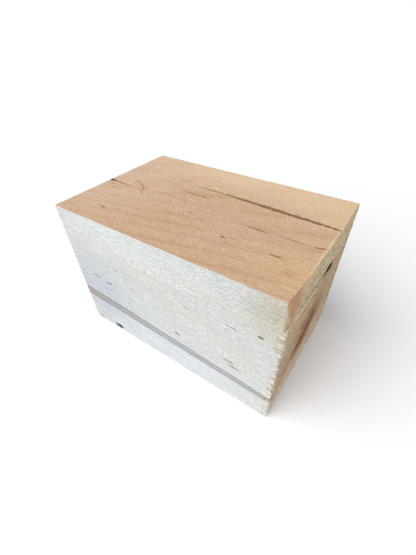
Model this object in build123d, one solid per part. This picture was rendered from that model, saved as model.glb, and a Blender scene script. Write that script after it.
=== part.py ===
"""Rough-sawn hardwood block, one solid.

Millimetres. The origin is at the middle of the underside, +X along the grain from the clean
end to the stepped end, +Y from the front face to the back face, +Z up.
"""

import os
from dataclasses import dataclass

from build123d import *

NODE = "wood_block"

# The sawn blank, over all. The clean end is square, and the other end is longest at the front face.
LENGTH = 153.6
DEPTH = 99.0
HEIGHT = 98.0
CLEAN_END = -LENGTH / 2
LONG_END = LENGTH / 2
FRONT = -DEPTH / 2
BACK = DEPTH / 2
ARRIS = 0.4

# The stepped end was cut in two passes that don't meet. The lower pass falls back from the front
# face to the back face, where the end is square with the block.
LOWER_FALL_BACK = 1.6
SQUARE_END = LONG_END - LOWER_FALL_BACK

# The upper pass is square with the block, and its foot is a ledge that wanders down to the back. It
# meets the lower pass a little past the middle, and the ledge dies out there.
UPPER_END = SQUARE_END + 0.65
LEDGE_FRONT_Z = 80.0
LEDGE_MIDDLE_Z = 75.7
LEDGE_BACK_Z = 75.4
LEDGE_MIDDLE_FROM_FRONT = 40.0

# The saw ran off smooth at the top front corner of the stepped end, and left a shallow facet there.
FACET_SET_BACK = 0.8
FACET_ALONG_TOP = 29.0
FACET_ALONG_FRONT = 26.0

# Chips torn out along the front arris of the stepped end: long with the grain, shallow and uneven.
CHIP_COUNT = 17
CHIP_LOWEST_Z = 2.0
CHIP_HIGHEST_Z = 75.0
CHIP_LENGTH = (1.4, 5.2)
CHIP_DEPTH = (0.3, 1.2)
CHIP_HEIGHT = (0.9, 3.8)
CHIP_SCATTER = 0.8
GOLDEN_SHARE = 0.618

# How far the cutting shapes reach past the wood.
OUTSIDE = 20.0
CLEAR = 5.0


@dataclass(frozen=True)
class Split:
    """An open flaw in a face: a pointed oval that narrows as it goes in.

    Its middle is at along and across in the face's own plane. Its long axis is turned from the
    plane's X by turn degrees, and its floor has floor_share of the mouth's width.
    """

    face: Plane
    along: float
    across: float
    length: float
    width: float
    depth: float
    turn: float
    floor_share: float


# Each face's plane has its local X along the grain, or along the ledge on the end, and its local Z
# out of the wood.
TOP_FACE = Plane(origin=(0, 0, HEIGHT), x_dir=(1, 0, 0), z_dir=(0, 0, 1))
FRONT_FACE = Plane(origin=(0, FRONT, 0), x_dir=(1, 0, 0), z_dir=(0, -1, 0))
END_FACE = Plane(origin=(SQUARE_END, 0, 0), x_dir=(0, 1, 0), z_dir=(1, 0, 0))

RING_SHAKE = Split(TOP_FACE, 35.2, 16.2, 112.0, 2.6, 2.4, -2.9, 0.30)
END_CHECK = Split(END_FACE, 10.5, 77.2, 21.0, 3.4, 7.0, -4.0, 0.35)
TOP_BARK_POCKET = Split(TOP_FACE, -75.8, -4.0, 13.0, 2.0, 1.2, -4.0, 0.40)
FRONT_BARK_POCKET = Split(FRONT_FACE, -50.8, 3.6, 10.5, 3.2, 2.2, 2.0, 0.45)
SPLITS = (RING_SHAKE, END_CHECK, TOP_BARK_POCKET, FRONT_BARK_POCKET)
MOUTH_FLARE = 1.3
FLOOR_SHORTENING = 0.2


def between(limits, share):
    """The value that lies at the given share of the way between two limits."""
    low, high = limits
    return low + (high - low) * share


def sawn_blank():
    """The rectangular billet, with its arrises just broken."""
    blank = Box(LENGTH, DEPTH, HEIGHT, align=(Align.CENTER, Align.CENTER, Align.MIN))
    return chamfer(blank.edges(), ARRIS)


def lower_pass():
    """What the lower saw pass took off: an upright wedge that widens towards the back."""
    plan = Polyline(
        (LONG_END, FRONT),
        (SQUARE_END, BACK),
        (SQUARE_END, BACK + CLEAR),
        (LONG_END + OUTSIDE, BACK + CLEAR),
        (LONG_END + OUTSIDE, FRONT),
        close=True,
    )
    wedge = extrude(make_face(plan), HEIGHT + 2 * CLEAR)
    return Pos(0, 0, -CLEAR) * wedge


def upper_pass():
    """What the upper saw pass took off: all above the wandering ledge and beyond the pass's plane."""
    ledge = Spline(
        (FRONT - CLEAR, LEDGE_FRONT_Z),
        (FRONT, LEDGE_FRONT_Z),
        (FRONT + LEDGE_MIDDLE_FROM_FRONT, LEDGE_MIDDLE_Z),
        (BACK, LEDGE_BACK_Z),
        (BACK + CLEAR, LEDGE_BACK_Z),
    )
    rim = Polyline(
        (BACK + CLEAR, LEDGE_BACK_Z),
        (BACK + CLEAR, HEIGHT + CLEAR),
        (FRONT - CLEAR, HEIGHT + CLEAR),
        (FRONT - CLEAR, LEDGE_FRONT_Z),
    )
    sawn = Plane(origin=(UPPER_END, 0, 0), x_dir=(0, 1, 0), z_dir=(1, 0, 0))
    return extrude(sawn * make_face(ledge + rim), OUTSIDE)


def corner_facet():
    """What the run-off took at the top front corner: a thin wedge outside a plane through three points."""
    foot_z = HEIGHT - FACET_ALONG_FRONT
    corner = Vector(UPPER_END - FACET_SET_BACK, FRONT, HEIGHT)
    along_top = Vector(UPPER_END, FRONT + FACET_ALONG_TOP, HEIGHT)
    along_front = Vector(UPPER_END, FRONT, foot_z)
    outward = (along_front - corner).cross(along_top - corner)
    facet = Plane(origin=corner, x_dir=along_top - corner, z_dir=outward)
    side = 2 * (FACET_ALONG_TOP + CLEAR)
    outside = facet * Box(side, side, CLEAR, align=(Align.CENTER, Align.CENTER, Align.MIN))
    keep_above = Box(LENGTH, 2 * DEPTH, HEIGHT, align=(Align.CENTER, Align.CENTER, Align.MIN))
    return outside & (Pos(SQUARE_END, 0, LEDGE_FRONT_Z) * keep_above)


def torn_chips():
    """Slivers torn out of the front arris of the stepped end, made uneven by a golden-share sequence."""
    pitch = (CHIP_HIGHEST_Z - CHIP_LOWEST_Z) / CHIP_COUNT
    chips = []
    for index in range(CHIP_COUNT):
        share = (index * GOLDEN_SHARE) % 1.0
        other_share = (share + (index % 3) * GOLDEN_SHARE) % 1.0
        length = between(CHIP_LENGTH, share)
        depth = between(CHIP_DEPTH, other_share)
        height = between(CHIP_HEIGHT, other_share * share)
        plan = Polyline(
            (LONG_END - length, FRONT),
            (LONG_END - length, FRONT - CLEAR),
            (LONG_END + CLEAR, FRONT - CLEAR),
            (LONG_END + CLEAR, FRONT + depth * (1 + CLEAR / length)),
            close=True,
        )
        foot_z = CHIP_LOWEST_Z + pitch * (index + CHIP_SCATTER * other_share)
        chips.append(Pos(0, 0, foot_z) * extrude(make_face(plan), height))
    return chips


def pointed_oval(length, width):
    """A flat face between two equal arcs that meet at its two ends."""
    half = length / 2
    bulge = width / 2
    upper = ThreePointArc((-half, 0), (0, bulge), (half, 0))
    lower = ThreePointArc((half, 0), (0, -bulge), (-half, 0))
    return make_face(upper + lower)


def split_hollow(split):
    """The hollow of one flaw, lofted from just outside its face down to its narrow floor."""
    mouth = pointed_oval(split.length, split.width * MOUTH_FLARE)
    floor_length = split.length * (1 - FLOOR_SHORTENING * split.floor_share)
    floor = pointed_oval(floor_length, split.width * split.floor_share)
    hollow = loft([Pos(0, 0, split.width) * mouth, Pos(0, 0, -split.depth) * floor])
    return split.face * Pos(split.along, split.across, 0) * Rot(0, 0, split.turn) * hollow


def wood_block():
    """The finished block: the blank less both saw passes, the facet, the chips and the flaws."""
    block = sawn_blank()
    block -= lower_pass()
    block -= upper_pass()
    block -= corner_facet()
    for chip in torn_chips():
        block -= chip
    for split in SPLITS:
        block -= split_hollow(split)
    return block


def main():
    """Builds the block and writes it."""
    os.makedirs("parts", exist_ok=True)
    block = wood_block()
    export_step(block, f"parts/{NODE}.step")
    print(NODE, "solids", len(block.solids()), "volume", round(block.volume), block.bounding_box())


if __name__ == "__main__":
    main()
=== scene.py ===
"""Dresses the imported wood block: sawn faces, flaws and torn grain, in a plain white studio.

Lengths are in millimetres in the block's own frame (+X along the grain to the stepped end, +Y to
the back, +Z up, origin under the middle), and become metres where a mesh, lamp or camera is made.
"""

from __future__ import annotations

import logging
import math
from dataclasses import dataclass
from enum import Enum

import bpy
import numpy as np
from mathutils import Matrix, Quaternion, Vector

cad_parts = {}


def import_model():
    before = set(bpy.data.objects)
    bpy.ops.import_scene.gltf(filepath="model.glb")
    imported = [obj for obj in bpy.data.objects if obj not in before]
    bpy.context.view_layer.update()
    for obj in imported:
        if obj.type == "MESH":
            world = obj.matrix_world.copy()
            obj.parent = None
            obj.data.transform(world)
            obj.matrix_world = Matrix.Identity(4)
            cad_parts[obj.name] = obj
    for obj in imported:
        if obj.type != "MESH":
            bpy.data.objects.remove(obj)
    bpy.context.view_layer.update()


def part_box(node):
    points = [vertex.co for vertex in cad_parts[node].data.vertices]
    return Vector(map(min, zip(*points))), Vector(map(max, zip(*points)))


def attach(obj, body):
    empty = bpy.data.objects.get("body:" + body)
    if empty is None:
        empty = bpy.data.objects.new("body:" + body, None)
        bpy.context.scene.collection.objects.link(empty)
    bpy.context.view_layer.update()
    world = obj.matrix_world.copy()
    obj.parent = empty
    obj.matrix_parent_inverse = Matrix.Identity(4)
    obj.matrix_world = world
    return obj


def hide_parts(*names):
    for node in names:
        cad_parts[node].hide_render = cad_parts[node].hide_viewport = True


Array = np.ndarray
Point = tuple[float, float, float]
Span = tuple[float, float]
Rgba = tuple[float, float, float, float]

MM = 0.001
PER_METRE = 1000.0
NODE = "wood_block"
BODY = "root"

log = logging.getLogger("wood_block")


def linear_rgb(hex_colour: str) -> Rgba:
    """Turns an sRGB hex colour to linear light.

    Args:
        hex_colour: six hex digits after a hash.

    Returns:
        Red, green and blue in linear light, and an alpha of one.
    """
    digits = hex_colour.lstrip("#")
    coded = np.array([int(digits[i : i + 2], 16) for i in (0, 2, 4)]) / 255.0
    light = np.where(coded <= 0.04045, coded / 12.92, ((coded + 0.055) / 1.055) ** 2.4)
    return (float(light[0]), float(light[1]), float(light[2]), 1.0)


def ease(low: float, high: float, value: Array) -> Array:
    """Eased step: 0 below low, 1 above high, and 3t^2 - 2t^3 between them.

    Args:
        low: where the step starts.
        high: where the step ends.
        value: where to read it.

    Returns:
        The step's height at each value.
    """
    share = np.clip((value - low) / (high - low), 0.0, 1.0)
    return share * share * (3.0 - 2.0 * share)


@dataclass(frozen=True)
class LatticeNoise:
    """A smooth random field: seeded values on a square lattice, blended with eased weights."""

    seed: int
    size: int = 128

    def at(self, u: Array, v: Array) -> Array:
        """Reads the field, which has a lattice point at each whole step of u and v.

        Args:
            u: first coordinate, in lattice steps.
            v: second coordinate, in lattice steps.

        Returns:
            Values from -1 to 1.
        """
        table = np.random.default_rng(self.seed).uniform(-1.0, 1.0, (self.size, self.size))
        column = np.floor(u).astype(int)
        row = np.floor(v).astype(int)
        across = ease(0.0, 1.0, u - column)
        along = ease(0.0, 1.0, v - row)
        left = column % self.size
        right = (column + 1) % self.size
        low = row % self.size
        high = (row + 1) % self.size
        below = table[left, low] * (1 - across) + table[right, low] * across
        above = table[left, high] * (1 - across) + table[right, high] * across
        return below * (1 - along) + above * along


def graded_lines(
    low: float, high: float, count: int, crowds: tuple[Point, ...], samples: int = 20001
) -> Array:
    """Grid lines from low to high, closer together at the crowds.

    The line density is 1 plus a bell of the given width and gain at each crowd's place, and the
    lines stand at equal steps of that density's running total.

    Args:
        low: first line.
        high: last line.
        count: number of lines.
        crowds: place, width and gain of each crowd.
        samples: places at which the density is added up.

    Returns:
        The lines' places, rising.
    """
    fine = np.linspace(low, high, samples)
    density = np.ones_like(fine)
    for place, width, gain in crowds:
        density += gain * np.exp(-(((fine - place) / width) ** 2))
    total = np.concatenate([[0.0], np.cumsum((density[1:] + density[:-1]) / 2)])
    return np.interp(np.linspace(0.0, total[-1], count), total, fine)


def new_mesh_object(name: str, points: Array, faces: Array, smooth_below: float) -> bpy.types.Object:
    """Makes a mesh object at the origin from whole arrays.

    Args:
        name: the object's name.
        points: vertices in millimetres, one row each.
        faces: vertex numbers, one row for each face.
        smooth_below: edges that turn by less than this angle, in degrees, are shaded smooth.

    Returns:
        The linked object.
    """
    mesh = bpy.data.meshes.new(name)
    mesh.from_pydata((points * MM).tolist(), [], faces.tolist())
    mesh.shade_smooth()
    mesh.set_sharp_from_angle(angle=math.radians(smooth_below))
    made = bpy.data.objects.new(name, mesh)
    bpy.context.scene.collection.objects.link(made)
    return made


class NodeBoard:
    """The node tree of one material or world, with the one function that adds to it."""

    def __init__(self, tree: bpy.types.NodeTree) -> None:
        """Clears the tree."""
        self.tree = tree
        self.tree.nodes.clear()

    def add(self, kind: str, inputs: dict | tuple = (), **settings: object) -> bpy.types.Node:
        """Adds a node, sets its options and feeds its inputs.

        Args:
            kind: Blender's name for the node's type.
            inputs: what feeds each input, in order or by name or number: a value, a socket, or a
                node, which feeds it from its first output in use.
            settings: the node's own options.

        Returns:
            The new node.
        """
        node = self.tree.nodes.new(kind)
        for option, value in settings.items():
            setattr(node, option, value)
        for key, value in inputs.items() if isinstance(inputs, dict) else enumerate(inputs):
            if isinstance(value, bpy.types.Node):
                value = next(socket for socket in value.outputs if socket.enabled)
            if isinstance(value, bpy.types.NodeSocket):
                self.tree.links.new(value, node.inputs[key])
            else:
                node.inputs[key].default_value = value
        return node


# Input numbers of the Mix node when it mixes colours.
MIX_SHARE = 0
MIX_FROM = 6
MIX_TO = 7


class Face(Enum):
    """The block's six sides: the axis each one faces, and 0 or 1 for its low or high side."""

    CLEAN_END = (0, 0)
    STEPPED_END = (0, 1)
    FRONT = (1, 0)
    BACK = (1, 1)
    UNDERSIDE = (2, 0)
    TOP = (2, 1)

    @property
    def axis(self) -> int:
        """Number of the axis that the side faces."""
        return self.value[0]

    @property
    def side(self) -> int:
        """0 for the low side and 1 for the high side."""
        return self.value[1]

    @property
    def in_plane(self) -> tuple[int, int]:
        """Numbers of the two axes that lie in the side."""
        return {0: (1, 2), 1: (0, 2), 2: (0, 1)}[self.axis]

    @property
    def inward(self) -> float:
        """Sign of the way into the wood along the side's axis."""
        return 1.0 - 2.0 * self.side


class Zone(Enum):
    """The differently finished surfaces of the block, in the order of its material slots."""

    TOP = 0
    FRONT = 1
    BACK = 2
    UNDERSIDE = 3
    CLEAN_END = 4
    UPPER_PASS = 5
    LOWER_PASS = 6
    LEDGE = 7
    FACET = 8


@dataclass(frozen=True)
class Mark:
    """A stain or fleck in the wood: a soft-edged ellipsoid of another colour.

    at is its middle, half its half sizes along X, Y and Z, and turn its tilt in degrees about the
    axis that the face looks along. edge is the share of its radius over which it fades.
    """

    at: Point
    half: Point
    colour: str
    strength: float
    turn: float = 0.0
    edge: float = 0.6

    def covers(self, points: Array) -> Array:
        """True for the places that lie in the mark, taken without its tilt."""
        return (((points - np.array(self.at)) / np.array(self.half)) ** 2).sum(axis=1) < 1.0


@dataclass(frozen=True)
class SawnFinish:
    """One sawn surface of the hardwood: its colours, its figure and how rough the saw left it.

    axis is the number of the axis that the surface looks along. fibre_size is a bundle of fibres and
    tuft_size a tuft of raised ones, in millimetres along X, Y and Z, and relief is the height of the
    roughness. streak gives the mineral streak's colour at the clean end, in the middle and at the
    stepped end.
    """

    name: str
    axis: int
    early: str
    late: str
    mottle: str
    fuzz: str
    streak: tuple[str, str, str] = ("#A89F90", "#A89F90", "#A89F90")
    # Colour of open flaws: partly their own darker wood and bark, partly painted shade in their hollows.
    flaw: str = "#4A3A24"
    # Colour of tears: painted shade where chips were torn out of the arris.
    torn: str = "#A98C6C"
    mottle_strength: float = 0.5
    ring_strength: float = 0.5
    streak_strength: float = 0.9
    fibre_contrast: float = 0.06
    gap_contrast: float = 0.12
    fuzz_strength: float = 0.5
    fibre_size: Point = (14.0, 0.7, 0.7)
    tuft_size: Point = (1.7, 0.9, 0.9)
    roughness: float = 0.85
    relief: float = 0.3
    marks: tuple[Mark, ...] = ()


@dataclass(frozen=True)
class GrowthRings:
    """The tree's rings as the block cuts them: cylinders about a pith line far below its back.

    A point's ring radius is its distance from the pith line, which falls along the grain, plus a
    slow wobble. The mineral streak is the shell between two such radii, and is darker at its rims.
    """

    pith_y: float = 44.0
    pith_z: float = -140.0
    fall_degrees: float = 3.76
    spacing: float = 2.7
    late_from: float = 0.45
    wobble: float = 2.6
    wobble_size: Point = (110.0, 28.0, 28.0)
    blotch_size: Point = (60.0, 20.0, 20.0)
    streak_radius: float = 189.9
    streak_half_width: float = 2.8
    streak_taper: float = 0.011
    streak_edge: float = 0.45
    streak_rim: Span = (0.5, 1.5)
    streak_rim_shade: float = 0.72
    streak_ends: Span = (-76.8, 76.8)

    def in_streak(self, points: Array) -> Array:
        """Which places lie in the mineral streak, taken without the wobble.

        Args:
            points: the places.

        Returns:
            True for a place within the streak's half width of its middle radius.
        """
        fall = math.radians(self.fall_degrees)
        up = points[:, 2] * math.cos(fall) + points[:, 0] * math.sin(fall) - self.pith_z
        radius = np.hypot(points[:, 1] - self.pith_y, up)
        half_width = self.streak_half_width - self.streak_taper * points[:, 0]
        return np.abs(radius - self.streak_radius) < half_width


# Dry raw wood: a matt surface with the index of cellulose and little gloss left by the saw.
WOOD_IOR = 1.53
WOOD_SPECULAR = 0.25

# How deep each point is in an open flaw and in a tear, how strongly they colour it, and over what depth.
# An open flaw is coloured partly with its own darker wood and bark and partly with painted shade in its
# hollow.
FLAW_AND_SHADE_ATTRIBUTE = "flaw"
# A tear is coloured with painted shade in the hollows where chips were torn out.
TORN_SHADE_ATTRIBUTE = "torn"
FLAW_AND_SHADE_STRENGTH = 1.0
TORN_SHADE_STRENGTH = 0.6
OPEN_RANGE = (0.0, 0.35)

# Where each kind of detail starts and is full, in patterns that mostly run from 0.3 to 0.7.
FIBRE_RANGE = (0.3, 0.7)
GAP_RANGE = (0.3, 0.5)
TUFT_RANGE = (0.5, 0.68)
BLOTCH_RANGE = (0.42, 0.62)
PATCH_RANGE = (0.35, 0.6)

# Patches of denser tufts, with the share of tufts that is left between them.
PATCH_SIZE = (24.0, 12.0, 12.0)
PATCH_LEAST = 0.35

# How finely and how far the outlines of marks waver.
WAVER_SIZE = (2.2, 1.1, 1.1)
WAVER_REACH = (2.4, 1.0, 1.0)


class WoodPainter:
    """Paints one finish. All the finishes are cut from one solid pattern of rings and fibres."""

    def __init__(self, finish: SawnFinish, rings: GrowthRings) -> None:
        """Starts a material named for the finish, with the place in millimetres at hand.

        Args:
            finish: the finish to paint.
            rings: the rings that it cuts through.
        """
        self.finish = finish
        self.rings = rings
        self.material = bpy.data.materials.new(finish.name)
        self.material.use_nodes = True
        self.board = NodeBoard(self.material.node_tree)
        metres = self.board.add("ShaderNodeTexCoord").outputs["Object"]
        self.place = self.board.add("ShaderNodeVectorMath", (metres, (PER_METRE,) * 3), operation="MULTIPLY")

    def fibre_pattern(self, size: Point, detail: float) -> bpy.types.Node:
        """Random fibres that run with the grain, which falls as the rings do.

        Args:
            size: length of a fibre along the grain, across it and up it.
            detail: number of finer layers.

        Returns:
            A pattern, mostly from 0.3 to 0.7.
        """
        turned = {
            "Vector": self.place,
            "Rotation": (0.0, math.radians(self.rings.fall_degrees), 0.0),
            "Scale": size,
        }
        along_grain = self.board.add("ShaderNodeMapping", turned, vector_type="TEXTURE")
        return self.board.add("ShaderNodeTexNoise", {"Vector": along_grain, "Scale": 1.0, "Detail": detail})

    def ring_radius(self) -> bpy.types.Node:
        """Distance from the pith line, with a slow wobble along and across the grain.

        Returns:
            The ring radius, in millimetres.
        """
        board, rings = self.board, self.rings
        turned = {
            "Vector": self.place,
            "Location": (0.0, -rings.pith_y, -rings.pith_z),
            "Rotation": (0.0, -math.radians(rings.fall_degrees), 0.0),
        }
        about_pith = board.add("ShaderNodeMapping", turned)
        across = board.add("ShaderNodeVectorMath", (about_pith, (0.0, 1.0, 1.0)), operation="MULTIPLY")
        radius = board.add("ShaderNodeVectorMath", (across,), operation="LENGTH")
        wobble = self.fibre_pattern(rings.wobble_size, 2.0)
        centred = board.add("ShaderNodeMath", (wobble, 0.5), operation="SUBTRACT")
        return board.add("ShaderNodeMath", (centred, rings.wobble, radius), operation="MULTIPLY_ADD")

    def laid_over(
        self, colour: bpy.types.Node | Rgba, tint: bpy.types.Node | Rgba, eased: tuple
    ) -> bpy.types.Node:
        """Lays a tint over a colour by an eased share of a pattern.

        Args:
            colour: the colour under it.
            tint: the colour over it.
            eased: the pattern, its values where the tint starts and is full, and the shares there.

        Returns:
            The mixed colour.
        """
        share = self.board.add("ShaderNodeMapRange", eased, interpolation_type="SMOOTHSTEP")
        mixed = {MIX_SHARE: share, MIX_FROM: colour, MIX_TO: tint}
        return self.board.add("ShaderNodeMix", mixed, data_type="RGBA")

    def figured(self, radius: bpy.types.Node) -> bpy.types.Node:
        """The wood's own figure: early wood, late wood at the end of each ring, and slow blotches.

        Args:
            radius: the ring radius.

        Returns:
            The colour.
        """
        board, finish = self.board, self.finish
        ring = board.add("ShaderNodeMath", (radius, self.rings.spacing), operation="DIVIDE")
        phase = board.add("ShaderNodeMath", (ring,), operation="FRACT")
        late = (phase, self.rings.late_from, 1.0, 0.0, finish.ring_strength)
        banded = self.laid_over(linear_rgb(finish.early), linear_rgb(finish.late), late)
        blotches = self.fibre_pattern(self.rings.blotch_size, 2.0)
        blotch = (blotches, *BLOTCH_RANGE, 0.0, finish.mottle_strength)
        return self.laid_over(banded, linear_rgb(finish.mottle), blotch)

    def streaked(self, colour: bpy.types.Node, radius: bpy.types.Node) -> bpy.types.Node:
        """Lays the mineral streak over a colour.

        How deep a point is in the streak is the half width there, which tapers along the grain, less
        the point's distance from the streak's middle radius.

        Args:
            colour: the wood under it.
            radius: the ring radius.

        Returns:
            The colour with the streak.
        """
        board, rings = self.board, self.rings
        along = board.add("ShaderNodeSeparateXYZ", (self.place,)).outputs["X"]
        tapered = (along, -rings.streak_taper, rings.streak_half_width)
        half_width = board.add("ShaderNodeMath", tapered, operation="MULTIPLY_ADD")
        off_middle = board.add("ShaderNodeMath", (radius, rings.streak_radius), operation="SUBTRACT")
        distance = board.add("ShaderNodeMath", (off_middle,), operation="ABSOLUTE")
        depth = board.add("ShaderNodeMath", (half_width, distance), operation="SUBTRACT")
        rim = (depth, *rings.streak_rim, rings.streak_rim_shade, 1.0)
        shade = board.add("ShaderNodeMapRange", rim, interpolation_type="SMOOTHSTEP")
        span = board.add("ShaderNodeMapRange", (along, *rings.streak_ends, 0.0, 1.0))
        ramp = board.add("ShaderNodeValToRGB", (span,))
        clean, middle, stepped = (linear_rgb(tint) for tint in self.finish.streak)
        ramp.color_ramp.elements[0].color = clean
        ramp.color_ramp.elements[1].color = stepped
        ramp.color_ramp.elements.new(0.5).color = middle
        shaded = {MIX_SHARE: 1.0, MIX_FROM: ramp, MIX_TO: shade}
        rimmed = board.add("ShaderNodeMix", shaded, data_type="RGBA", blend_type="MULTIPLY")
        edge = (depth, -rings.streak_edge, rings.streak_edge, 0.0, self.finish.streak_strength)
        return self.laid_over(colour, rimmed, edge)

    def marked(self, colour: bpy.types.Node) -> bpy.types.Node:
        """Lays the finish's stains and flecks over a colour.

        Each is 1 less the distance from its middle, in its own half sizes, eased over its edge. The
        place is shaken a little first, so that their outlines aren't smooth.

        Args:
            colour: the wood under them.

        Returns:
            The colour with its marks.
        """
        board = self.board
        shaking = self.fibre_pattern(WAVER_SIZE, 1.0).outputs["Color"]
        centred = board.add("ShaderNodeVectorMath", (shaking, (0.5, 0.5, 0.5)), operation="SUBTRACT")
        shaken = (centred, WAVER_REACH, self.place)
        wavering = board.add("ShaderNodeVectorMath", shaken, operation="MULTIPLY_ADD")
        for mark in self.finish.marks:
            turn = [0.0, 0.0, 0.0]
            turn[self.finish.axis] = math.radians(mark.turn)
            mapped = {"Vector": wavering, "Location": mark.at, "Rotation": turn, "Scale": mark.half}
            local = board.add("ShaderNodeMapping", mapped, vector_type="TEXTURE")
            depth = board.add("ShaderNodeTexGradient", (local,), gradient_type="SPHERICAL").outputs["Fac"]
            edge = (depth, 0.0, mark.edge, 0.0, mark.strength)
            colour = self.laid_over(colour, linear_rgb(mark.colour), edge)
        return colour

    def roughened(
        self, colour: bpy.types.Node, fibres: bpy.types.Node, tufts: bpy.types.Node
    ) -> bpy.types.Node:
        """Adds what the saw left: uneven fibres, dark gaps between tufts, and pale tufts in patches.

        A tuft is paler than the wood under it by the same share everywhere, so stains show through,
        and nothing is paler than a white tinted with the square root of the tufts' hue.

        Args:
            colour: the wood under them.
            fibres: the pattern of fibre bundles.
            tufts: the pattern of raised tufts.

        Returns:
            The colour of the rough surface.
        """
        board, finish = self.board, self.finish
        uneven = (fibres, *FIBRE_RANGE, 1.0 - finish.fibre_contrast, 1.0 + finish.fibre_contrast)
        gaps = (tufts, *GAP_RANGE, 1.0 - finish.gap_contrast, 1.0)
        for shading in (uneven, gaps):
            shade = board.add("ShaderNodeMapRange", shading, interpolation_type="SMOOTHSTEP")
            shaded = {MIX_SHARE: 1.0, MIX_FROM: colour, MIX_TO: shade}
            colour = board.add("ShaderNodeMix", shaded, data_type="RGBA", blend_type="MULTIPLY")
        patches = self.fibre_pattern(PATCH_SIZE, 1.0)
        patch = (patches, *PATCH_RANGE, PATCH_LEAST * finish.fuzz_strength, finish.fuzz_strength)
        most = board.add("ShaderNodeMapRange", patch, interpolation_type="SMOOTHSTEP")
        tuft = (tufts, *TUFT_RANGE, 0.0, most)
        tuft_share = board.add("ShaderNodeMapRange", tuft, interpolation_type="SMOOTHSTEP")
        fuzz = np.array(linear_rgb(finish.fuzz))
        gain = fuzz / np.array(linear_rgb(finish.early))
        palest = np.sqrt(np.minimum(fuzz / fuzz[:3].max(), 1.0))
        for blend, tint, share in (("MULTIPLY", gain, tuft_share), ("DARKEN", palest, 1.0)):
            tufted = {MIX_SHARE: share, MIX_FROM: colour, MIX_TO: tuple(tint)}
            colour = board.add("ShaderNodeMix", tufted, data_type="RGBA", blend_type=blend)
        return colour

    def paint(self) -> bpy.types.Material:
        """Builds the finish: figure, marks, streak, roughness, and torn and open wood with painted shade,
        over a fine bump.

        Returns:
            The finished material.
        """
        board, finish = self.board, self.finish
        radius = self.ring_radius()
        fibres = self.fibre_pattern(finish.fibre_size, 3.0)
        tufts = self.fibre_pattern(finish.tuft_size, 2.0)
        colour = self.streaked(self.marked(self.figured(radius)), radius)
        colour = self.roughened(colour, fibres, tufts)
        # Tears: painted shade in the torn-out hollows.
        torn = (TORN_SHADE_ATTRIBUTE, TORN_SHADE_STRENGTH, finish.torn)
        # Open flaws: their darker wood and bark, and painted shade in the hollow.
        flawed_and_shaded = (FLAW_AND_SHADE_ATTRIBUTE, FLAW_AND_SHADE_STRENGTH, finish.flaw)
        for attribute, strength, tint in (torn, flawed_and_shaded):
            depth = board.add("ShaderNodeAttribute", attribute_name=attribute).outputs["Fac"]
            opening = (depth, *OPEN_RANGE, 0.0, strength)
            colour = self.laid_over(colour, linear_rgb(tint), opening)
        height = board.add("ShaderNodeMath", (fibres, tufts), operation="ADD")
        bump = {"Height": height, "Strength": 1.0, "Distance": finish.relief * MM}
        normal = board.add("ShaderNodeBump", bump)
        wood = {
            "Base Color": colour,
            "Roughness": finish.roughness,
            "IOR": WOOD_IOR,
            "Specular IOR Level": WOOD_SPECULAR,
            "Normal": normal,
        }
        board.add("ShaderNodeOutputMaterial", (board.add("ShaderNodeBsdfPrincipled", wood),))
        return self.material


RINGS = GrowthRings()
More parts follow.
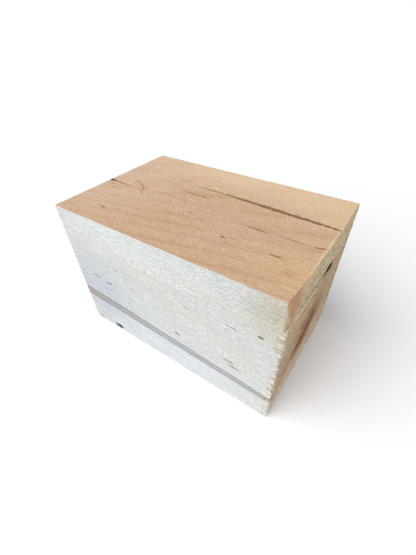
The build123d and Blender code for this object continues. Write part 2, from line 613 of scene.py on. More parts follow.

# Flat-sawn top: warm tan, yellower at the back, with reddish streaks and a few brown flecks, a painted
# highlight along its stepped edge and painted shade along its front edge.
TOP_MARKS = (
    Mark((10.0, 48.0, 98.0), (150.0, 40.0, 20.0), "#DEC1A0", 0.85, edge=0.9),
    Mark((-66.0, 0.0, 98.0), (60.0, 70.0, 20.0), "#D4B9A2", 0.6, edge=0.9),
    Mark((70.0, 34.0, 98.0), (50.0, 34.0, 20.0), "#DDC29E", 0.6, edge=0.9),
    # Painted highlight: a pale line along the top's edge at the stepped end, where the arris catches the
    # light.
    Mark((75.6, -8.0, 98.0), (1.5, 60.0, 3.0), "#F2DDB8", 0.7, edge=0.8),
    # Painted shade: a darker line along the top's front edge.
    Mark((-10.0, -49.5, 98.0), (100.0, 1.5, 3.0), "#B4855A", 0.5, edge=0.8),
    Mark((20.0, 0.0, 98.0), (80.0, 13.0, 20.0), "#CBA487", 0.5, edge=0.9),
    Mark((70.0, -30.0, 98.0), (34.0, 24.0, 20.0), "#D2AE82", 0.5, edge=0.9),
    Mark((-11.0, 17.6, 98.0), (11.0, 0.8, 3.0), "#8C6842", 0.85, turn=-3.0),
    Mark((6.0, 16.8, 98.0), (12.0, 0.6, 3.0), "#94704A", 0.5, turn=-3.0),
    Mark((-14.3, 7.5, 98.0), (14.0, 0.9, 3.0), "#96633F", 0.65),
    Mark((-5.0, 7.0, 98.0), (4.0, 0.8, 3.0), "#7E5C38", 0.6),
    Mark((-21.8, -2.0, 98.0), (26.0, 1.1, 3.0), "#AE815E", 0.5),
    Mark((-66.0, -5.0, 98.0), (14.0, 1.6, 3.0), "#8A6243", 0.6, turn=-5.0),
    Mark((-72.0, -8.6, 98.0), (8.0, 0.8, 3.0), "#8F6A4A", 0.55, turn=-3.0),
    Mark((-52.0, -2.0, 98.0), (12.0, 9.0, 3.0), "#C99F80", 0.5, edge=0.9),
    Mark((-57.0, 2.2, 98.0), (4.4, 1.0, 3.0), "#8F5F3B", 0.45, turn=-20.0),
    Mark((-51.5, 0.0, 98.0), (2.8, 1.1, 3.0), "#8F5F3B", 0.5, turn=-38.0),
    Mark((-47.6, -2.8, 98.0), (2.2, 1.2, 3.0), "#8F5F3B", 0.7, turn=-55.0),
    Mark((-46.0, -6.0, 98.0), (2.2, 1.1, 3.0), "#8F5F3B", 0.65, turn=-60.0),
    Mark((-43.5, -8.6, 98.0), (2.4, 1.0, 3.0), "#8F5F3B", 0.4, turn=-35.0),
    Mark((-64.3, -12.5, 98.0), (5.0, 0.8, 3.0), "#9A6F4B", 0.55),
    Mark((-1.3, -12.5, 98.0), (4.5, 0.9, 3.0), "#8F7A50", 0.55),
    Mark((38.7, -8.0, 98.0), (11.0, 0.9, 3.0), "#84503A", 0.75),
    Mark((58.0, -7.6, 98.0), (12.0, 0.9, 3.0), "#A56E4E", 0.55),
    Mark((72.2, -6.7, 98.0), (4.0, 0.9, 3.0), "#A04A26", 0.85, turn=14.0),
    Mark((27.2, -23.5, 98.0), (2.0, 1.1, 3.0), "#7C5B32", 0.8),
    Mark((33.0, -22.2, 98.0), (6.5, 0.7, 3.0), "#A8825A", 0.45),
    Mark((57.2, -24.0, 98.0), (5.2, 0.8, 3.0), "#75532F", 0.75),
    Mark((67.2, -32.5, 98.0), (5.0, 4.0, 3.0), "#B98262", 0.4, edge=0.9),
    Mark((-49.8, -35.0, 98.0), (4.6, 0.9, 3.0), "#8E6A45", 0.75, turn=-8.0),
)

# Quarter-sawn front: pale sapwood, cool at the lower left and stained warm at the top right, with painted
# shade along its foot.
FRONT_MARKS = (
    Mark((-64.0, -49.5, 36.0), (58.0, 20.0, 50.0), "#B3B8C3", 0.8, edge=0.9),
    Mark((74.0, -49.5, 90.0), (26.0, 20.0, 30.0), "#B2A891", 0.75, edge=0.9),
    Mark((10.0, -49.5, 16.0), (90.0, 20.0, 24.0), "#C8CCD4", 0.8, edge=0.9),
    Mark((-20.0, -49.5, 92.0), (80.0, 20.0, 24.0), "#D0D4D2", 0.7, edge=0.9),
    # Painted shade: a darker line along the front's foot, where it stands on the floor.
    Mark((20.0, -49.5, 0.2), (60.0, 3.0, 0.7), "#9A8C78", 0.6),
    Mark((-56.8, -49.5, 51.5), (4.2, 3.0, 0.9), "#6A5C52", 0.85, turn=6.0),
    Mark((-45.8, -49.5, 50.0), (3.4, 3.0, 1.0), "#6A5C52", 0.85, turn=8.0),
    Mark((-22.3, -49.5, 56.0), (3.2, 3.0, 0.8), "#A6937E", 0.5, turn=4.0),
    Mark((-33.3, -49.5, 66.0), (2.2, 3.0, 0.8), "#A6937E", 0.55, turn=4.0),
    Mark((-27.5, -49.5, 44.0), (3.2, 3.0, 1.0), "#B39E86", 0.6, turn=5.0),
    Mark((11.2, -49.5, 36.0), (3.4, 3.0, 0.9), "#785B46", 0.85, turn=5.0),
    Mark((48.7, -49.5, 37.0), (4.8, 3.0, 0.8), "#82664E", 0.9, turn=4.0),
    Mark((51.7, -49.5, 33.5), (5.8, 3.0, 0.75), "#797168", 0.85, turn=4.0),
    Mark((65.7, -49.5, 70.0), (3.0, 3.0, 1.1), "#6A4632", 0.9, turn=5.0),
    Mark((49.7, -49.5, 67.0), (5.0, 3.0, 0.7), "#8C8272", 0.7, turn=4.0),
    Mark((20.7, -49.5, 64.5), (4.0, 3.0, 0.7), "#8C8272", 0.65, turn=4.0),
    Mark((-6.8, -49.5, 77.0), (2.6, 3.0, 1.0), "#BAA97E", 0.6, turn=4.0),
    Mark((25.7, -49.5, 54.0), (2.2, 3.0, 0.7), "#98846C", 0.55, turn=4.0),
    Mark((-70.8, -49.5, 3.0), (2.4, 3.0, 1.2), "#8C5E3C", 0.85, turn=4.0),
)

# Upper pass of the stepped end: woolly end grain, olive near the front and browner behind, with painted
# shade over the end check and along its foot above the ledge.
UPPER_MARKS = (
    Mark((75.2, -14.0, 84.0), (20.0, 32.0, 20.0), "#DCC8A0", 0.8, edge=0.8),
    Mark((75.2, 48.0, 80.0), (20.0, 7.0, 40.0), "#A9835C", 0.7, edge=0.8),
    # Painted shade: a dark line along the foot of the upper pass just above the ledge, running forward from
    # the check.
    Mark((75.2, -8.0, 77.2), (20.0, 16.0, 1.4), "#6E5430", 0.8, turn=-3.0, edge=0.8),
    Mark((75.2, -47.0, 81.0), (20.0, 14.0, 4.6), "#DDB98E", 0.95, turn=-9.0, edge=0.6),
    # Painted shade over the end check's opening, a little wider than its hollow.
    Mark((75.2, 9.0, 77.3), (20.0, 12.0, 2.7), "#4A1E0A", 1.0, turn=-4.0, edge=0.4),
)

# The red-brown streak in the end grain, which also stains the fibres that stand on it.
STREAK = Mark((75.2, -6.0, 36.6), (20.0, 31.0, 10.5), "#82472A", 0.86, turn=13.0, edge=0.75)

# Lower pass of the stepped end: brown end grain, pinker below a red-brown streak, and palest at the foot in
# painted light thrown back from the floor.
LOWER_MARKS = (
    Mark((75.2, 14.0, 2.0), (20.0, 70.0, 34.0), "#F3C8A5", 0.95, edge=0.6),
    # Painted light: the foot of the end made palest, standing in for light thrown back from the floor.
    Mark((75.2, 0.0, 0.0), (20.0, 140.0, 20.0), "#FCE2C8", 0.95, edge=0.7),
    Mark((75.2, -7.0, 27.0), (20.0, 19.0, 11.0), "#AC7550", 0.75, edge=0.9),
    Mark((75.2, -44.0, 66.0), (20.0, 16.0, 26.0), "#DFC8A4", 0.8, edge=0.9),
    Mark((75.2, 48.0, 45.0), (20.0, 7.0, 30.0), "#B48E68", 0.6, edge=0.8),
    Mark((75.2, -2.0, 48.5), (20.0, 37.0, 21.0), "#A06A44", 0.9, edge=0.9),
    Mark((75.2, 4.0, 72.0), (20.0, 32.0, 6.0), "#B89A76", 0.9, turn=-2.0, edge=0.7),
    STREAK,
    Mark((75.2, -32.0, 27.0), (20.0, 15.0, 4.0), "#8C6E44", 0.7, turn=44.0, edge=0.9),
)

# The ledge: a little darker by the front arris, and browner where it dies out towards the back.
LEDGE_MARKS = (
    Mark((75.2, -49.5, 80.0), (20.0, 14.0, 8.0), "#E4CDAD", 0.95, edge=0.7),
    Mark((75.2, 34.0, 75.5), (20.0, 40.0, 8.0), "#C9A583", 0.9, edge=0.5),
)

# Burnished facet: its foot by the front arris is torn and paler.
FACET_MARKS = (
    Mark((75.2, -49.5, 84.0), (20.0, 6.4, 13.0), "#E4D0A6", 0.95, edge=0.7),
    Mark((75.2, -47.0, 81.0), (20.0, 14.0, 4.6), "#DDB98E", 0.95, turn=-9.0, edge=0.6),
    Mark((75.2, -25.0, 95.0), (20.0, 16.0, 15.0), "#F6CFA6", 0.95, edge=0.9),
)

FINISHES = {
    # Slightly woolly where the saw ran with the grain: pale flecks on tan.
    Zone.TOP: SawnFinish(
        "flat_sawn_maple", 2, "#CAA988", "#BA9070", "#CBAA8C", "#EFDCBE",
        flaw="#86663E", ring_strength=0.5, streak_strength=0.0, fuzz_strength=0.34, gap_contrast=0.07,
        fibre_contrast=0.06, fibre_size=(26.0, 0.7, 0.7), tuft_size=(1.4, 0.6, 0.6), marks=TOP_MARKS,
    ),
    # Raised all over in short pale tufts, so the face looks like felt.
    Zone.FRONT: SawnFinish(
        "fuzzy_quarter_sawn_maple", 1, "#C5C8C6", "#BCBDB7", "#C9C9C1", "#E5E6E2",
        streak=("#9C948C", "#A1A6A9", "#ABA79F"), flaw="#44445E", ring_strength=0.4,
        streak_strength=1.0, fuzz_strength=0.56, gap_contrast=0.13, fibre_size=(20.0, 0.8, 0.8),
        tuft_size=(1.4, 0.8, 0.8), relief=0.38, marks=FRONT_MARKS,
    ),
    # The hidden long side, cut like the front.
    Zone.BACK: SawnFinish(
        "sawn_maple_back", 1, "#D3C4A8", "#C6B08C", "#D6C9B0", "#EFE5D0", streak=("#A0917C",) * 3,
        streak_strength=0.6,
    ),
    # The side it stands on, cut like the top.
    Zone.UNDERSIDE: SawnFinish(
        "sawn_maple_underside", 2, "#D0B998", "#C3A47D", "#D2BC9C", "#EBDCC0", streak=("#9C8464",) * 3,
    ),
    # Cleanly sawn end grain: rings show as arcs.
    Zone.CLEAN_END: SawnFinish(
        "sawn_end_grain_maple", 0, "#CDB48E", "#AD8D66", "#C6AA86", "#DCC9A8", streak=("#8A6A4E",) * 3,
        streak_strength=0.6, ring_strength=0.7, fibre_contrast=0.12, fibre_size=(3.0, 1.2, 1.2),
        tuft_size=(1.2, 0.9, 0.9),
    ),
    # End grain that the saw dragged: a nap of broken fibres that catches light unevenly.
    Zone.UPPER_PASS: SawnFinish(
        "woolly_end_grain_maple", 0, "#EBD2AB", "#D4B88F", "#E2C69E", "#FEF0D0",
        flaw="#7A3814", streak_strength=0.0, fibre_contrast=0.28, gap_contrast=0.42, fuzz_strength=0.7,
        fibre_size=(3.0, 5.0, 1.0), tuft_size=(1.5, 2.2, 1.0), relief=0.6, marks=UPPER_MARKS,
    ),
    # The same, rougher and darker.
    Zone.LOWER_PASS: SawnFinish(
        "rough_end_grain_maple", 0, "#D9BB9A", "#BC9979", "#CAAA89", "#F4DFBA",
        flaw="#7A3814", streak_strength=0.0, fibre_contrast=0.3, gap_contrast=0.4, fuzz_strength=0.6,
        fibre_size=(3.0, 6.0, 1.0), tuft_size=(1.5, 2.6, 1.0), relief=0.6, marks=LOWER_MARKS,
    ),
    # Split wood on the step and its lip, painted the palest and warmest of all as a painted highlight where
    # the ledge catches the light.
    Zone.LEDGE: SawnFinish(
        "maple_ledge_painted_highlight", 2, "#FFE6C8", "#F9DCB9", "#FDE3C4", "#FFF1DC",
        fuzz_strength=0.5, fibre_contrast=0.1, streak_strength=0.0, marks=LEDGE_MARKS,
    ),
    # Rubbed by the blade as it ran out: smooth and a little shiny.
    Zone.FACET: SawnFinish(
        "burnished_maple_facet", 0, "#D2A178", "#BB895F", "#CB9972", "#E9C79E",
        fuzz_strength=0.3, fibre_contrast=0.16, gap_contrast=0.1, fibre_size=(3.0, 1.6, 6.0),
        streak_strength=0.0, roughness=0.7, relief=0.1, marks=FACET_MARKS,
    ),
}


class FuzzColour(Enum):
    """The colours of loose fibres, in the order of their material slots."""

    TAN = 0
    WHITE = 1
    CREAM = 2


# Single fibres pulled out of the wood: thin enough to look paler than the face they stand on.
FIBRE_FINISHES = {
    FuzzColour.TAN: SawnFinish(
        "loose_tan_fibre", 2, "#F2E0C6", "#E8D2B2", "#F3E4CC", "#FAEEDC",
        streak_strength=0.0, relief=0.05,
    ),
    FuzzColour.WHITE: SawnFinish(
        "loose_sapwood_fibre", 1, "#DCDBD3", "#D2CEC2", "#DEDACE", "#E8E6DE",
        streak_strength=0.0, relief=0.05,
    ),
    FuzzColour.CREAM: SawnFinish(
        "loose_end_grain_fibre", 0, "#DDCCAA", "#CDB792", "#DACAAB", "#EFE4CC",
        streak_strength=0.0, relief=0.05, marks=(STREAK,),
    ),
}


@dataclass(frozen=True)
class PointedFlaw:
    """An open flaw in a face: a pointed oval, turned on the face, that narrows as it goes in."""

    face: Face
    along: float
    across: float
    half_length: float
    half_width: float
    depth: float
    turn: float
    low_end_share: float = 1.0

    def share(self, points: Array, ragged: Array | float = 0.0) -> Array:
        """How deep the flaw is, as a share of its depth.

        Across the flaw it is (1 - distance / half width) to the power 0.6, and towards both ends it
        falls off as the square root of 1 - t^2. The half width falls off along the flaw as 1 - t^2,
        and from its middle to its low end it also eases down to low_end_share of that.

        Args:
            points: places on the face.
            ragged: share by which the half width is made uneven.

        Returns:
            0 outside the flaw, rising to 1 on its middle line.
        """
        turn = math.radians(self.turn)
        first, second = self.face.in_plane
        along = points[:, first] - self.along
        across = points[:, second] - self.across
        run = along * math.cos(turn) + across * math.sin(turn)
        off = across * math.cos(turn) - along * math.sin(turn)
        bulge = np.clip(1.0 - (run / self.half_length) ** 2, 0.0, 1.0)
        narrowed = self.low_end_share + (1.0 - self.low_end_share) * ease(-self.half_length, 0.0, run)
        half_width = np.maximum(self.half_width * bulge * narrowed * (1.0 + ragged), 1e-6)
        return np.clip(1.0 - np.abs(off) / half_width, 0.0, 1.0) ** 0.6 * np.sqrt(bulge)


RING_SHAKE = PointedFlaw(Face.TOP, 35.2, 16.2, 56.0, 1.35, 2.4, -2.9, low_end_share=0.3)
END_CHECK = PointedFlaw(Face.STEPPED_END, 10.5, 77.2, 10.5, 1.8, 7.0, -4.0)
TOP_BARK_POCKET = PointedFlaw(Face.TOP, -75.8, -4.0, 6.5, 1.1, 1.2, -4.0)
FRONT_BARK_POCKET = PointedFlaw(Face.FRONT, -50.8, 3.6, 5.3, 1.7, 2.2, 2.0)
FLAWS = (RING_SHAKE, END_CHECK, TOP_BARK_POCKET, FRONT_BARK_POCKET)


@dataclass
class SawnBlock:
    """The block's visible surface: one closed grid over six sawn faces, with its flaws cut in.

    The fields with follow in their names say how far off the grid's lines still slide with the ledge,
    the shake and the end.
    """

    low: Array
    high: Array
    lines_along: int = 142
    lines_deep: int = 102
    lines_below_ledge: int = 102
    lines_above_ledge: int = 36
    lower_fall_back: float = 1.6
    upper_reach: float = 0.65
    ledge_front_z: float = 80.0
    ledge_drop: float = 4.6
    ledge_bend: Span = (2.0, 48.0)
    ledge_gap: float = 0.16
    ledge_follow_z: float = 25.0
    ledge_follow_in: float = 45.0
    shake_follow_front: float = 40.0
    shake_follow_down: float = 20.0
    end_follow_in: float = 3.0
    wool_depth: float = 0.16
    wool_size: Span = (2.0, 2.4)
    wool_seed: int = 12
    lip_dies_out: Span = (56.0, 68.0)
    lip_rows: int = 3
    lip_taper: float = 5.0
    lip_raised: float = 0.36
    facet_set_back: float = 0.8
    facet_along_top: float = 29.0
    facet_along_front: float = 26.0
    chip_count: int = 17
    chip_z: Span = (2.0, 75.0)
    chip_length: Span = (1.4, 5.2)
    chip_depth: Span = (0.3, 1.2)
    chip_height: Span = (0.9, 3.8)
    chip_scatter: float = 0.8
    chip_outer_edge: float = 0.3
    chip_inner_edge: float = 0.2
    golden_share: float = 0.618
    tear_depth: float = 0.7
    tear_length: float = 4.0
    tear_size: Span = (0.9, 6.0)
    tear_seed: int = 15
    relief_depth: float = 0.15
    relief_tufts: float = 0.09
    tuft_size: Span = (1.3, 1.0)
    tuft_seed: int = 20
    relief_waves: float = 0.06
    wave_size: Span = (14.0, 9.0)
    wave_seed: int = 70
    arris_break: float = 0.3
    arris_break_size: float = 1.4
    arris_break_seed: int = 19
    # How far past a flaw's hollow its colour and painted shade reach.
    flaw_rim: float = 0.25
    flaw_ragged: float = 0.2
    flaw_ragged_size: Span = (2.2, 1.3)
    flaw_ragged_seed: int = 11

    @property
    def square_end(self) -> float:
        """Where the stepped end is square with the block, at the back."""
        return float(self.high[0]) - self.lower_fall_back

    def ledge_z(self, y: Array) -> Array:
        """Height of the ledge: level at the front, then an eased drop towards the back."""
        return self.ledge_front_z - self.ledge_drop * ease(*self.ledge_bend, y - self.low[1])

    def grid_lines(self) -> tuple[Array, Array, Array]:
        """Lines along the three axes, crowded at the flaws, arrises and ledge.

        Returns:
            Places along X, Y and Z. The ledge lies between two lines of Z that nearly touch.
        """
        low, high, end = self.low, self.high, self.square_end
        along = graded_lines(low[0], end, self.lines_along, ((end, 5.0, 2.0), (low[0], 3.0, 0.8)))
        crowds = ((RING_SHAKE.across, 1.7, 4.0), (TOP_BARK_POCKET.across, 1.6, 1.0), (low[1], 2.0, 1.0))
        deep = graded_lines(low[1], high[1], self.lines_deep, crowds)
        ledge_foot = self.ledge_front_z - self.ledge_gap / 2
        ledge_brow = self.ledge_front_z + self.ledge_gap / 2
        below = graded_lines(low[2], ledge_foot, self.lines_below_ledge, ((low[2], 5.0, 0.4),))
        above = graded_lines(ledge_brow, high[2], self.lines_above_ledge, ((high[2], 2.0, 1.0),))
        return along, deep, np.concatenate([below, above])

    def lattice(self) -> tuple[Array, Array, Array, Array]:
        """The closed grid over the six faces before it is shaped.

        Every face takes its corners from one three-way lattice, so neighbours share their arrises.

        Returns:
            Places, lattice numbers, four corners of each quad, and each quad's zone.
        """
        lines = self.grid_lines()
        counts = tuple(len(line) for line in lines)
        numbers = np.arange(np.prod(counts)).reshape(counts)
        quads, zones = [], []
        for face in Face:
            sheet = np.take(numbers, -face.side, axis=face.axis)
            corners = (sheet[:-1, :-1], sheet[1:, :-1], sheet[1:, 1:], sheet[:-1, 1:])
            quad = np.stack(corners, axis=-1).reshape(-1, 4)
            looks_out = (face.side == 1) != (face.axis == 1)
            quads.append(quad if looks_out else quad[:, ::-1])
            zones.append(self.zones_of(face, quad, lines))
        used, corners = np.unique(np.concatenate(quads), return_inverse=True)
        index = np.stack(np.unravel_index(used, counts), axis=-1)
        rest = np.stack([lines[axis][index[:, axis]] for axis in range(3)], axis=-1)
        return rest, index, corners.reshape(-1, 4), np.concatenate(zones)

    def zones_of(self, face: Face, quads: Array, lines: tuple[Array, Array, Array]) -> Array:
        """Which finish each quad of a face gets.

        The ledge's finish, with its painted highlight, also covers the rows of its lip, which end sooner the
        lower they are.

        Args:
            face: the face.
            quads: lattice numbers of its quads' corners.
            lines: the grid lines.

        Returns:
            Zone numbers, one for each quad.
        """
        if face is not Face.STEPPED_END:
            return np.full(len(quads), Zone[face.name].value)
        index = np.stack(np.unravel_index(quads, tuple(len(line) for line in lines)), axis=-1)
        row = index[:, :, 2].min(axis=1)
        from_front = lines[1][index[:, :, 1]].mean(axis=1) - self.low[1]
        from_top = self.high[2] - lines[2][index[:, :, 2]].mean(axis=1)
        zones = np.where(row >= self.lines_below_ledge, Zone.UPPER_PASS.value, Zone.LOWER_PASS.value)
        in_facet = (self.facet_depth(from_front, from_top) > 0.0) & (row >= self.lines_below_ledge)
        zones = np.where(in_facet, Zone.FACET.value, zones)
        rows_down = self.lines_below_ledge - 1 - row
        on_ledge = rows_down == 0
        on_lip = (rows_down > 0) & (rows_down < self.lip_rows)
        on_lip &= from_front < self.lip_dies_out[0] - self.lip_taper * rows_down
        return np.where(on_ledge | on_lip, Zone.LEDGE.value, zones)

    def facet_depth(self, from_front: Array, from_top: Array) -> Array:
        """How far in the facet a place on the end is: 1 at its corner and 0 along its edge."""
        return 1.0 - from_front / self.facet_along_top - from_top / self.facet_along_front

    def end_reach(self, y: Array, z: Array, above: Array) -> Array:
        """How far the stepped end stands out past the square end.

        The lower pass falls back evenly from front to back. The upper pass is square with the block
        and nowhere further out than the lower one, and the facet takes a wedge off its front corner.

        Args:
            y: place from front to back.
            z: height.
            above: true for points above the ledge.

        Returns:
            The reach, less than nothing at the tip of the facet.
        """
        from_front = y - self.low[1]
        from_top = self.high[2] - z
        lower = self.lower_fall_back * (1.0 - from_front / (self.high[1] - self.low[1]))
        facet = np.clip(self.facet_depth(from_front, from_top), 0.0, 1.0)
        upper = self.upper_reach - self.facet_set_back * facet
        return np.where(above, np.minimum(upper, lower), lower)

    def arris_tear(self, x: Array, z: Array) -> Array:
        """Depth of what was torn out of the front arris of the stepped end, below the ledge.

        Each chip is a wedge that starts at nothing and deepens evenly to the arris, within its own
        height. A golden-share sequence makes the chips uneven, and a random field frays the rest.

        Args:
            x: place along the grain.
            z: height.

        Returns:
            The deepest tear at each point.
        """
        pitch = (self.chip_z[1] - self.chip_z[0]) / self.chip_count
        fray = LatticeNoise(self.tear_seed).at(z / self.tear_size[0], x / self.tear_size[1])
        deepest = self.tear_depth * np.clip(fray, 0.0, 1.0)
        deepest = deepest * ease(self.square_end - self.tear_length, self.square_end, x)
        deepest = deepest * (z < self.ledge_front_z)
        for number in range(self.chip_count):
            share = (number * self.golden_share) % 1.0
            other = (share + (number % 3) * self.golden_share) % 1.0
            length = np.interp(share, (0, 1), self.chip_length)
            depth = np.interp(other, (0, 1), self.chip_depth)
            height = np.interp(other * share, (0, 1), self.chip_height)
            foot = self.chip_z[0] + pitch * (number + self.chip_scatter * other)
            head = foot + height
            over_foot = ease(foot - self.chip_outer_edge, foot + self.chip_inner_edge, z)
            over_head = ease(head - self.chip_inner_edge, head + self.chip_outer_edge, z)
            ramp = np.clip((x - self.high[0] + length) / length, 0.0, 1.0)
            deepest = np.maximum(deepest, depth * ramp * (over_foot - over_head))
        return deepest

    def saw_relief(self, face: Face, points: Array) -> Array:
        """Depth of a rough-sawn surface: fine tufts over slow waves, never proud of the face.

        Args:
            face: the face, which picks the random fields.
            points: places on it.

        Returns:
            Depth below the face.
        """
        number = 2 * face.axis + face.side
        u, v = points[:, face.in_plane[0]], points[:, face.in_plane[1]]
        tufts = LatticeNoise(self.tuft_seed + number).at(u / self.tuft_size[0], v / self.tuft_size[1])
        waves = LatticeNoise(self.wave_seed + number).at(u / self.wave_size[0], v / self.wave_size[1])
        return self.relief_depth + self.relief_tufts * tufts + self.relief_waves * waves

    def shaped(self, rest: Array, index: Array) -> tuple[Array, Array, Array]:
        """Moves the closed grid onto the real surface.

        First the lines slide within their faces, to follow the ledge and the shake. Then each face's
        points move along its normal: the end by its reach, with the torn lip of the ledge proud of
        it, and every face but the one it stands on by its flaws and relief. Last, the arrises are
        broken unevenly. A point on an arris gets the moves of all its faces.

        Args:
            rest: the grid's places.
            index: the grid's lattice numbers.

        Returns:
            The shaped places, and how deep each point is in an open flaw and in a tear, from 0 to 1, which
            sets how strongly their colour and painted shade are laid on.
        """
        end = self.square_end
        x, y, z = rest.T
        last = index.max(axis=0)
        on = {face: index[:, face.axis] == face.side * last[face.axis] for face in Face}
        above = index[:, 2] >= self.lines_below_ledge

        tent = np.interp(z, (self.ledge_follow_z, self.ledge_front_z, self.high[2]), (0.0, 1.0, 0.0))
        z = z + (self.ledge_z(y) - self.ledge_front_z) * tent * ease(end - self.ledge_follow_in, end, x)
        drift = math.tan(math.radians(RING_SHAKE.turn)) * (x - RING_SHAKE.along)
        feet = (self.low[1] + self.shake_follow_front, RING_SHAKE.across, self.high[1])
        tent = np.interp(y, feet, (0.0, 1.0, 0.0))
        y = y + drift * tent * ease(self.high[2] - self.shake_follow_down, self.high[2], z)
        wool = LatticeNoise(self.wool_seed).at(y / self.wool_size[0], z / self.wool_size[1])
        on_lip = (index[:, 2] > self.lines_below_ledge - self.lip_rows) & ~above
        lip = self.lip_raised * on_lip * (1.0 - ease(*self.lip_dies_out, y - self.low[1]))
        reach = self.end_reach(y, z, above) + lip + self.wool_depth * wool
        x = x + reach * ease(end - self.end_follow_in, end, x)
        points = np.stack([x, y, z], axis=-1)

        ragged_x, ragged_y = self.flaw_ragged_size
        ragged = self.flaw_ragged * LatticeNoise(self.flaw_ragged_seed).at(x / ragged_x, y / ragged_y)
        moved = points.copy()
        deepest = np.zeros(len(points))
        for face in Face:
            cut = np.zeros(len(points)) if face is Face.UNDERSIDE else self.saw_relief(face, points)
            if face is Face.FRONT:
                cut = cut + self.arris_tear(x, z)
            for flaw in FLAWS:
                if flaw.face is face:
                    cut = cut + flaw.depth * flaw.share(points, ragged)
                    # Where an open flaw is coloured, partly with painted shade, reaching a little past its
                    # hollow.
                    deepest = np.maximum(deepest, flaw.share(points, ragged + self.flaw_rim) * on[face])
            moved[:, face.axis] += face.inward * cut * on[face]
        on_arris = sum(mask.astype(int) for mask in on.values()) > 1
        size = self.arris_break_size
        wear = LatticeNoise(self.arris_break_seed).at((x + y) / size, (z + y) / size)
        worn = self.arris_break * (0.5 + 0.5 * wear) * on_arris
        for face in Face:
            moved[:, face.axis] += face.inward * worn * on[face]
        # Painted shade in the tears, deepest where the most was torn out.
        torn = np.clip(self.arris_tear(x, z) / self.chip_depth[1], 0.0, 1.0) * on[Face.FRONT]
        return moved, deepest, torn

    def build(self) -> bpy.types.Object:
        """Makes the block's mesh, with its flaw and torn attributes, which carry painted shade, and its
        zones as material numbers.

        Returns:
            The object that stands for the CAD block.
        """
        rest, index, quads, zones = self.lattice()
        points, deepest, torn = self.shaped(rest, index)
        block = new_mesh_object("sawn_block", points, quads, smooth_below=40.0)
        for name, depths in ((FLAW_AND_SHADE_ATTRIBUTE, deepest), (TORN_SHADE_ATTRIBUTE, torn)):
            attribute = block.data.attributes.new(name, "FLOAT", "POINT")
            attribute.data.foreach_set("value", depths.astype(np.float32))
        block.data.polygons.foreach_set("material_index", zones.astype(np.int32))
        return block

    def dress(self, block: bpy.types.Object) -> None:
        """Gives each zone of the block its finish, in slot order."""
        for zone in Zone:
            block.data.materials.append(WoodPainter(FINISHES[zone], RINGS).paint())


def sliver_mesh(
    roots: Array, runs: Array, curls: Array, widths: Array, stations: int
) -> tuple[Array, Array]:
    """Many thin slivers of wood, each a three-sided spike along a bent path.

    A sliver's path is root + t run + t^2 curl for t from 0 to 1, and its half width falls off as
    (1 - t)^0.7. It has a ring of three points at each station, and one point at its tip.

    Args:
        roots: where each sliver starts.
        runs: its direction times its length.
        curls: how far its tip is bent aside.
        widths: its half width at the root.
        stations: rings along each sliver.

    Returns:
        Points and triangles, closed at both ends.
    """
    count = len(roots)
    t = np.linspace(0.0, 1.0, stations + 1)[:-1]
    path = roots[:, None] + t[None, :, None] * runs[:, None] + (t**2)[None, :, None] * curls[:, None]
    upright = np.abs(runs[:, 2:]) > 0.8 * np.linalg.norm(runs, axis=1, keepdims=True)
    first = np.cross(runs, np.where(upright, [[1.0, 0.0, 0.0]], [[0.0, 0.0, 1.0]]))
    first /= np.linalg.norm(first, axis=1, keepdims=True)
    second = np.cross(runs, first)
    second /= np.linalg.norm(second, axis=1, keepdims=True)
    angles = np.arange(3) * 2 * np.pi / 3
    ring = np.cos(angles)[:, None] * first[:, None] + np.sin(angles)[:, None] * second[:, None]
    half = widths[:, None] * (1.0 - t[None, :]) ** 0.7
    rings = path[:, :, None] + half[:, :, None, None] * ring[:, None]
    tips = (roots + runs + curls)[:, None]
    points = np.concatenate([rings.reshape(count, stations * 3, 3), tips], axis=1)

    side = np.arange(3)
    turn = (side + 1) % 3
    faces = [np.array([[2, 1, 0]])]
    for lower in range(0, 3 * (stations - 1), 3):
        upper = lower + 3
        faces.append(np.stack([lower + side, lower + turn, upper + turn], axis=-1))
        faces.append(np.stack([lower + side, upper + turn, upper + side], axis=-1))
    last = 3 * (stations - 1)
    faces.append(np.stack([last + side, last + turn, np.full(3, last + 3)], axis=-1))
    offsets = np.arange(count)[:, None, None] * (last + 4)
    return points.reshape(-1, 3), (offsets + np.concatenate(faces)[None]).reshape(-1, 3)


